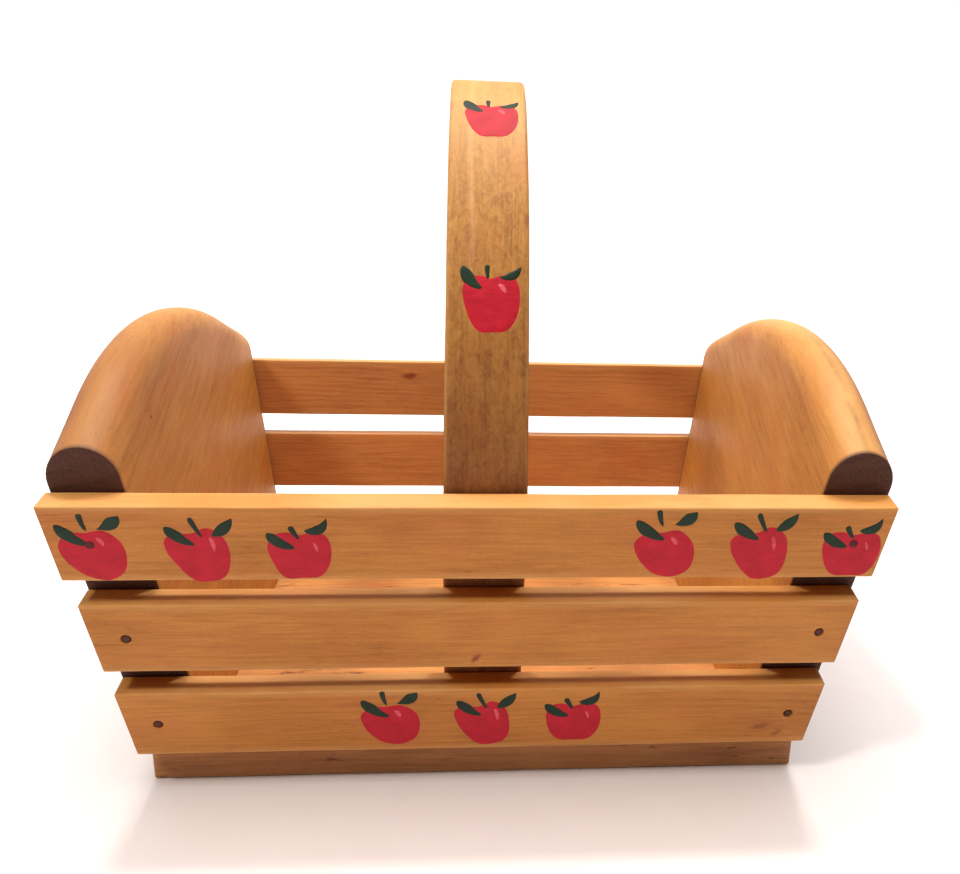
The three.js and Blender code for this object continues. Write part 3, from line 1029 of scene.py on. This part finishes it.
def handle():
    points, grain = [], []
    foot_height = BASE_THICKNESS + GAP
    count = len(strap_section(STRAP_WIDTH))
    for run, (y, z) in zip(STRAP_RUN, STRAP_POINTS):
        for across, depth in strap_section(strap_width(z)):
            place = strap_place(run, across, depth)
            if run in (STRAP_RUN[0], STRAP_RUN[-1]):
                lean = math.tan(SIDE_LEAN)
                drop = foot_height - place.z
                place += Vector((0, math.copysign(1, y) * lean * drop, drop))
            points.append(place)
            grain.append((run, across, depth))
    faces = ring_quads(len(STRAP_RUN) - 1, count)
    last = (len(STRAP_RUN) - 1) * count
    faces.append(list(range(count))[::-1])
    faces.append(list(range(last, last + count)))
    obj = mesh_object("handle_strap_wood", uneven_strap(points), faces)
    tidy_mesh(obj, merge=0.0)
    grain = np.array(grain)

    # Worn arrises are lighter, and the crown is lightened as painted light from above.
    def edge(p):
        across = STRAP_WIDTH / 2 - np.abs(grain[:, 1])
        through = STRAP_THICKNESS / 2 - np.abs(grain[:, 2] + STRAP_THICKNESS / 2)
        arris = fade(np.maximum(across, through), 1.3 * MM)
        crown = np.clip((p[:, 2] - STRAP_SHADE_TOP) / STRAP_LIGHT_RISE, 0, 1)
        return np.maximum(arris * 0.6, crown * 0.6)

    def endgrain(_):
        reach = np.minimum(grain[:, 0], STRAP_RUN[-1] - grain[:, 0])
        return fade(reach, CUT_END) * CUT_END_DARKNESS

    # Darker lower down, as painted shade on the strap's legs, which face down and away from the
    # overhead lamps.
    def tone(p):
        return np.clip((STRAP_SHADE_TOP - p[:, 2]) / STRAP_SHADE_DROP, 0, 1)

    add_attributes(obj, lambda _: grain, edge, endgrain, tone)
    smooth(obj, 50)
    return finish_piece(obj, STRAP_WOOD, "stained_wood", "handle_strap")


# ---------------- painted apples

COAT_ROOT = 0.05 * MM  # how deep a coat's underside lies in the wood
COAT_RIM_SUNK = 0.012 * MM  # how deep its rim does


def coat(name, sheet, surface, thickness, material, slot):
    """A thin closed coat of paint. Sheet rows hold (across, up, rise), with rise 0 at the rim."""
    rows, columns = len(sheet), len(sheet[0])
    grain = []
    for sunk in (False, True):
        for row in sheet:
            for across, up, rise in row:
                lift = -COAT_ROOT if sunk else thickness * rise - COAT_RIM_SUNK
                grain.append((across, up, lift))
    layer = rows * columns
    faces = []
    for i in range(rows - 1):
        for j in range(columns - 1):
            a, b = i * columns + j, i * columns + j + 1
            c, d = b + columns, a + columns
            faces.append([a, b, c, d])
            faces.append([a + layer, d + layer, c + layer, b + layer])
    last = columns - 1
    rim = list(range(columns)) + [i * columns + last for i in range(1, rows)]
    rim += [(rows - 1) * columns + j for j in range(last - 1, -1, -1)]
    rim += [i * columns for i in range(rows - 2, 0, -1)]
    faces += [[a, a + layer, b + layer, b] for a, b in zip(rim, rim[1:] + rim[:1])]
    obj = mesh_object(name, [surface(*place) for place in grain], faces)
    store(obj, "grain", grain)
    tidy_mesh(obj, merge=2 * MICRON, dissolve=MICRON)
    smooth(obj, 60)
    return finish_piece(obj, material, slot)


# Brushed apples: the first three repeat along the slats, and the last is the strap's. Sizes are in
# millimetres, and rims in half-widths and half-heights from the middle. Strokes are (start, end,
# width, bow, blunt): the first three in millimetres and the bow as a share of the length. The
# blunter a stroke, the nearer to its end it is widest.
APPLE_KINDS = {
    "round": {
        "size": (16.6, 14.7),
        "rim": (
            (-0.98, 0.5), (-0.62, 0.9), (-0.12, 0.92), (0.4, 0.99), (0.86, 0.6), (1.0, 0.0),
            (0.86, -0.66), (0.37, -1.0), (-0.25, -0.86), (-0.7, -0.42), (-0.95, 0.05),
        ),
        "left_leaf": ((-8.1, 9.1), (0.7, 2.9), 3.5, -0.10, 0.12),
        "right_leaf": ((1.9, 7.7), (7.8, 11.6), 3.6, -0.10, 0.75),
        "stalk": ((-0.7, 7.1), (-2.0, 12.2), 1.8, 0.05, 0.80),
        "highlight": ((1.2, 5.4), (3.1, 2.6), 1.5, 0.12, 0.40),
    },
    "tall": {
        "size": (16.1, 16.3),
        "rim": (
            (-0.98, 0.56), (-0.62, 0.8), (-0.16, 0.78), (0.36, 1.0), (0.83, 0.7), (0.99, 0.15),
            (0.93, -0.5), (0.66, -0.88), (0.02, -1.0), (-0.36, -0.8), (-0.74, -0.33), (-0.95, 0.12),
        ),
        "left_leaf": ((-7.3, 8.4), (0.6, 2.9), 3.3, -0.08, 0.10),
        "right_leaf": ((3.8, 5.7), (9.4, 11.1), 3.2, -0.08, 0.35),
        "stalk": ((1.8, 5.0), (-1.2, 11.2), 1.7, 0.03, 0.65),
        "highlight": ((3.4, 5.5), (4.2, 0.7), 1.4, 0.08, 0.05),
    },
    "low": {
        "size": (16.2, 14.3),
        "rim": (
            (-1.0, 0.35), (-0.78, 0.88), (-0.36, 0.98), (-0.04, 0.84), (0.42, 0.95), (0.84, 0.82),
            (1.0, 0.28), (0.92, -0.43), (0.6, -0.93), (0.05, -1.0), (-0.5, -0.95), (-0.84, -0.48),
        ),
        "left_leaf": ((-8.1, 6.7), (-0.4, 2.1), 3.5, -0.10, 0.15),
        "right_leaf": ((1.4, 7.4), (7.1, 11.1), 2.9, -0.26, 0.22),
        "stalk": ((0.0, 4.6), (-2.3, 8.7), 1.8, 0.03, 0.75),
        "highlight": ((3.4, 4.0), (4.4, 0.8), 1.0, 0.08, 0.40),
    },
    "strap": {
        "size": (15.5, 14.5),
        "rim": (
            (-1.0, 0.4), (-0.8, 0.86), (-0.36, 0.98), (-0.04, 0.86), (0.42, 0.96), (0.86, 0.82),
            (1.0, 0.3), (0.88, -0.38), (0.56, -0.92), (0.05, -1.0), (-0.42, -0.96), (-0.78, -0.48),
        ),
        "left_leaf": ((-7.5, 9.3), (-1.7, 3.4), 3.4, -0.14, 0.12),
        "right_leaf": ((1.7, 6.6), (7.8, 9.3), 2.3, -0.20, 0.50),
        "stalk": ((-0.9, 5.9), (-1.1, 9.6), 1.5, 0.02, 0.75),
        "highlight": ((1.6, 4.8), (3.8, 2.4), 1.6, 0.10, 0.35),
    },
}


def rim_radii(rim, seed):
    """Distance of a smooth closed rim from the middle, as (angles, radii) for interpolation."""
    places = [Vector((x * 1.3, y * 1.3, seed * 2.7)) for x, y in rim]
    rim = [Vector(p) * (1 + 0.05 * noise.noise(place)) for p, place in zip(rim, places)]
    count = len(rim)
    polar = []
    for i in range(count):
        before, start, end, after = (rim[(i + k) % count] for k in (-1, 0, 1, 2))
        for t in np.linspace(0, 1, 16, endpoint=False):
            # a Catmull-Rom curve through the rim's points
            x, y = 0.5 * (
                2 * start + (end - before) * t + (2 * before - 5 * start + 4 * end - after) * t ** 2
                + (3 * start - 3 * end + after - before) * t ** 3
            )
            polar.append((math.atan2(y, x), math.hypot(x, y)))
    polar.sort()
    angles, radii = zip(*polar)
    return np.array(angles), np.array(radii)


def square_to_disc(a, b):
    """Spreads a square grid over a disc, so that the disc is filled with quads."""
    return a * math.sqrt(1 - b * b / 2), b * math.sqrt(1 - a * a / 2)


def apple_sheet(centre, size, rim, seed, steps=26):
    """The sheet of a round coat with a steep rim."""
    angles, radii = rim_radii(rim, seed)
    sheet = []
    places = [math.sin(math.pi / 2 * v) for v in np.linspace(-1, 1, steps + 1)]
    for b in places:
        row = []
        for a in places:
            x, y = square_to_disc(a, b)
            radius, angle = math.hypot(x, y), math.atan2(y, x)
            reach = radius * np.interp(angle, angles, radii, period=2 * math.pi)
            rise = max(0.0, 1 - radius ** 14)
            across = centre[0] + size[0] / 2 * reach * math.cos(angle)
            row.append((across, centre[1] + size[1] / 2 * reach * math.sin(angle), rise))
        sheet.append(row)
    return sheet


def stroke_sheet(start, end, width, bow, blunt, square_end=False, along=26, across=8):
    """One brush stroke, which swells and narrows again or ends square. Bow bends it to its left."""
    start, end = np.array(start), np.array(end)
    line = end - start
    normal = np.array([-line[1], line[0]])
    sheet = []
    for t in np.linspace(0, 1, along + 1):
        middle = start + line * t + normal * bow * 4 * t * (1 - t)
        heading = line + normal * bow * 4 * (1 - 2 * t)
        heading = heading / np.linalg.norm(heading)
        left = np.array([-heading[1], heading[0]])
        if square_end:
            swell = (0.45 + 0.55 * t) * math.sqrt(max(0.0, 1 - t ** 14)) * min(1.0, 5 * t + 0.1)
        else:
            swell = math.sin(math.pi * t ** (0.62 + blunt)) ** 0.8 * min(1.0, 1.15 - 0.25 * t)
        swell = max(0.02, swell)
        row = []
        for u in np.linspace(-1, 1, across + 1):
            x, y = middle + left * (width / 2 * swell * u)
            row.append((x, y, max(0.0, 1 - abs(u) ** 6) * min(1.0, swell * 2)))
        sheet.append(row)
    return sheet


def slat_surface(facing, seed):
    """Places paint on the uneven outer face of a slat."""
    matrix = side_frame(facing)

    def place(across, up, lift):
        flat = uneven([(across, up, SLAT_THICKNESS)], seed)[0]
        return matrix @ Vector((flat[0], flat[1], flat[2] + lift))

    return place


def strap_surface(across, up, lift):
    """Places paint on the strap's uneven outer face. Up is the run along it from its front foot."""
    flat = strap_place(up, across)
    return Vector(uneven_strap([flat])[0]) + (strap_place(up, across, lift) - flat)


def apple(name, surface, centre, kind, seed, scale=(1, 1), leaf_lift=0.0):
    """An apple with two leaves, a stalk and a highlight. Leaf_lift raises its leaves and stalk."""
    shape = APPLE_KINDS[kind]
    stretch = np.array(scale) * MM
    body = apple_sheet(centre, shape["size"] * stretch, shape["rim"], seed)
    coat(f"{name}_body", body, surface, 0.10 * MM, APPLE_RED, "apple_paint")
    parts = (
        ("left_leaf", 0.17, LEAF_GREEN, "leaf_paint"),
        ("right_leaf", 0.17, LEAF_GREEN, "leaf_paint"),
        ("stalk", 0.17, LEAF_GREEN, "leaf_paint"),
        ("highlight", 0.15, HIGHLIGHT_PINK, "highlight_paint"),
    )
    for i, (part, thickness, material, slot) in enumerate(parts):
        start, end, width, bow, blunt = shape[part]
        slip = 0.35 * MM * noise.noise(Vector((seed * 1.7 + i, seed, 0.5)))
        lift = 0.0 if part == "highlight" else leaf_lift
        start, end = (np.array(centre) + np.array(p) * stretch + (slip, lift) for p in (start, end))
        sheet = stroke_sheet(start, end, width * MM, bow, blunt, square_end=part == "stalk")
        coat(f"{name}_{part}", sheet, surface, thickness * MM, material, slot)


APPLE_PITCH_TOP = 25.7 * MM
APPLE_PITCH_LOW = 26.2 * MM
APPLE_GROUP_OFFSET = 73.2 * MM  # from the basket's middle to the middle of each group of three
APPLE_UP_TOP = 81.2 * MM
APPLE_UP_LOW = 23.4 * MM
UPPER_APPLE_HEIGHT = 188.5 * MM
LOWER_APPLE_HEIGHT = 142.5 * MM
HANDLE_APPLE_OFFSET = 0.9 * MM
RIGHT_LEAF_LIFT = 1.4 * MM
NAIL_DOT_RIM = tuple((math.cos(a), math.sin(a)) for a in np.linspace(0, 2 * math.pi, 9)[:-1])
NAIL_DOT_SIZE = (2.6 * MM, 2.4 * MM)


def painted_apples():
    top = slat_surface(-1, SLAT_SEEDS["front", 2])
    low = slat_surface(-1, SLAT_SEEDS["front", 0])
    for i, kind in enumerate(("round", "tall", "low")):
        step = i - 1
        for side, hand in HANDS:
            place = (hand * APPLE_GROUP_OFFSET + step * APPLE_PITCH_TOP, APPLE_UP_TOP)
            lift = RIGHT_LEAF_LIFT if hand > 0 and kind != "low" else 0.0
            apple(f"top_{side}_{kind}_apple", top, place, kind, 11 + 3 * hand + i, leaf_lift=lift)
        apple(f"low_{kind}_apple", low, (step * APPLE_PITCH_LOW, APPLE_UP_LOW), kind, 21 + i)
    front_half = len(STRAP_RUN) // 2
    for name, height, scale, seed in (
        ("upper", UPPER_APPLE_HEIGHT, (0.98, 0.93), 31),
        ("lower", LOWER_APPLE_HEIGHT, (1.0, 1.08), 33),
    ):
        run = np.interp(height, STRAP_POINTS[:front_half, 1], STRAP_RUN[:front_half])
        place = (HANDLE_APPLE_OFFSET, run)
        apple(f"handle_{name}_apple", strap_surface, place, "strap", seed, scale)
    for side, hand in HANDS:
        # The nail head shows through the paint as a dark dot.
        up = sum(slat_outline(2)) / 2
        place = (hand * nail_along(up), up)
        dot = apple_sheet(place, NAIL_DOT_SIZE, NAIL_DOT_RIM, 41 + hand, steps=10)
        coat(f"top_{side}_painted_nail", dot, top, 0.22 * MM, NAIL_PAINT, "apple_paint")


# ---------------- the basket

base_board()
for hand_name, hand in HANDS:
    end_board(hand_name, hand)
for face, facing in (("front", -1), ("back", 1)):
    for level in range(len(LEVELS)):
        slat(face, facing, level)
handle()
painted_apples()


# ---------------- studio

FLOOR_FLAT = 1.12  # radius of the flat floor, in metres
SWEEP_RADIUS = 0.5
WALL_TOP = 1.2
FLOOR_CLEARANCE = 0.15 * MM


def studio():
    """A pale floor that sweeps up into a pale wall behind, and stays open in front."""
    profile = [(0.02 + 1.1 * (i / 12), 0.0) for i in range(13)]
    for angle in np.linspace(0.1, math.pi / 2, 12):
        height = SWEEP_RADIUS - SWEEP_RADIUS * math.cos(angle)
        profile.append((FLOOR_FLAT + SWEEP_RADIUS * math.sin(angle), height))
    profile.append((FLOOR_FLAT + SWEEP_RADIUS, WALL_TOP))
    sides = 96
    points = []
    for radius, height in profile:
        for i in range(sides):
            angle = 2 * math.pi * i / sides
            share = min(1.0, max(0.0, 0.5 + 1.4 * math.sin(angle)))
            rise = share * share * (3 - 2 * share)
            points.append((radius * math.cos(angle), radius * math.sin(angle), height * rise))
    faces = [list(range(sides))] + ring_quads(len(profile) - 1, sides)
    floor = mesh_object("studio_floor", points, faces)
    floor.location.z = -FLOOR_CLEARANCE
    floor.data.shade_smooth()
    shader = Shader("pale_floor")
    place = shader.node("ShaderNodeTexCoord").outputs["Object"]
    grainy = shader.noise(place, (60.0, 60.0, 60.0))
    colour = shader.mix(grainy, FLOOR_DARK, FLOOR_LIGHT)
    floor.data.materials.append(shader.finish(colour, 0.55, grainy, 0.05, 0.1 * MM))


# Two lamps high up and slightly behind, one at the front left, a soft ceiling and a lit backdrop.
# Each has its place, the place it points at, its size in metres, its power in watts and its colour.
LAMPS = {
    "overhead_right": ((0.34, 0.19, 1.27), (0, 0, 0.05), 0.14, 6.0, (1.0, 0.96, 0.90)),
    "overhead_left": ((-0.28, 0.19, 1.27), (0, 0, 0.05), 0.14, 6.0, (1.0, 0.96, 0.90)),
    "front_left": ((-0.72, -0.58, 1.15), (0, 0, 0.06), 0.22, 8.0, (1.0, 0.93, 0.84)),
    "ceiling": ((0.0, -0.15, 1.5), (0, -0.15, 0), 1.30, 18.0, (1.0, 0.93, 0.88)),
    "backdrop": ((0.0, 0.55, 1.10), (0, 1.55, 0.35), 0.60, 7.0, (1, 1, 1)),
}
WORLD_COLOUR = (1.0, 0.95, 0.90, 1)
WORLD_STRENGTH = 0.08


def area_light(name, place, target, size, power, colour):
    data = bpy.data.lights.new(name, "AREA")
    data.shape = "DISK"
    data.size = size
    data.energy = power
    data.color = colour
    light = bpy.data.objects.new(name, data)
    light.location = place
    light.rotation_mode = "QUATERNION"
    light.rotation_quaternion = (Vector(target) - Vector(place)).to_track_quat("-Z", "Y")
    bpy.context.scene.collection.objects.link(light)


def lighting():
    """The lamps and a weak even light from all round."""
    for name, lamp in LAMPS.items():
        area_light(name, *lamp)
    world = bpy.data.worlds.new("soft_world")
    world.use_nodes = True
    background = world.node_tree.nodes["Background"]
    background.inputs[0].default_value = WORLD_COLOUR
    background.inputs[1].default_value = WORLD_STRENGTH
    bpy.context.scene.world = world
    bpy.context.scene.view_settings.view_transform = "Standard"


# ---------------- camera

# Solved from the photograph together with the basket's proportions.
CAMERA_PLACE = (-0.00356, -0.30561, 0.18574)
YAW, PITCH, ROLL = 0.0926, 0.2946, 0.0369  # radians: to the right, downwards, right side up
SENSOR_WIDTH = 36
LENS = 35.4375
SHIFT_X, SHIFT_Y = -0.08, -0.018333333  # in widths of the frame


def camera():
    level = math.cos(PITCH)
    forward = Vector((math.sin(YAW) * level, math.cos(YAW) * level, -math.sin(PITCH)))
    level_right = Vector((math.cos(YAW), -math.sin(YAW), 0))
    level_up = level_right.cross(forward)
    right = math.cos(ROLL) * level_right + math.sin(ROLL) * level_up
    up = -math.sin(ROLL) * level_right + math.cos(ROLL) * level_up
    data = bpy.data.cameras.new("camera")
    data.sensor_width = SENSOR_WIDTH
    data.lens = LENS
    data.shift_x = SHIFT_X
    data.shift_y = SHIFT_Y
    data.clip_start, data.clip_end = 0.01, 10
    obj = bpy.data.objects.new("camera", data)
    bpy.context.scene.collection.objects.link(obj)
    obj.matrix_world = axes_matrix(right, up, -forward, CAMERA_PLACE)
    bpy.context.scene.camera = obj


studio()
lighting()
camera()
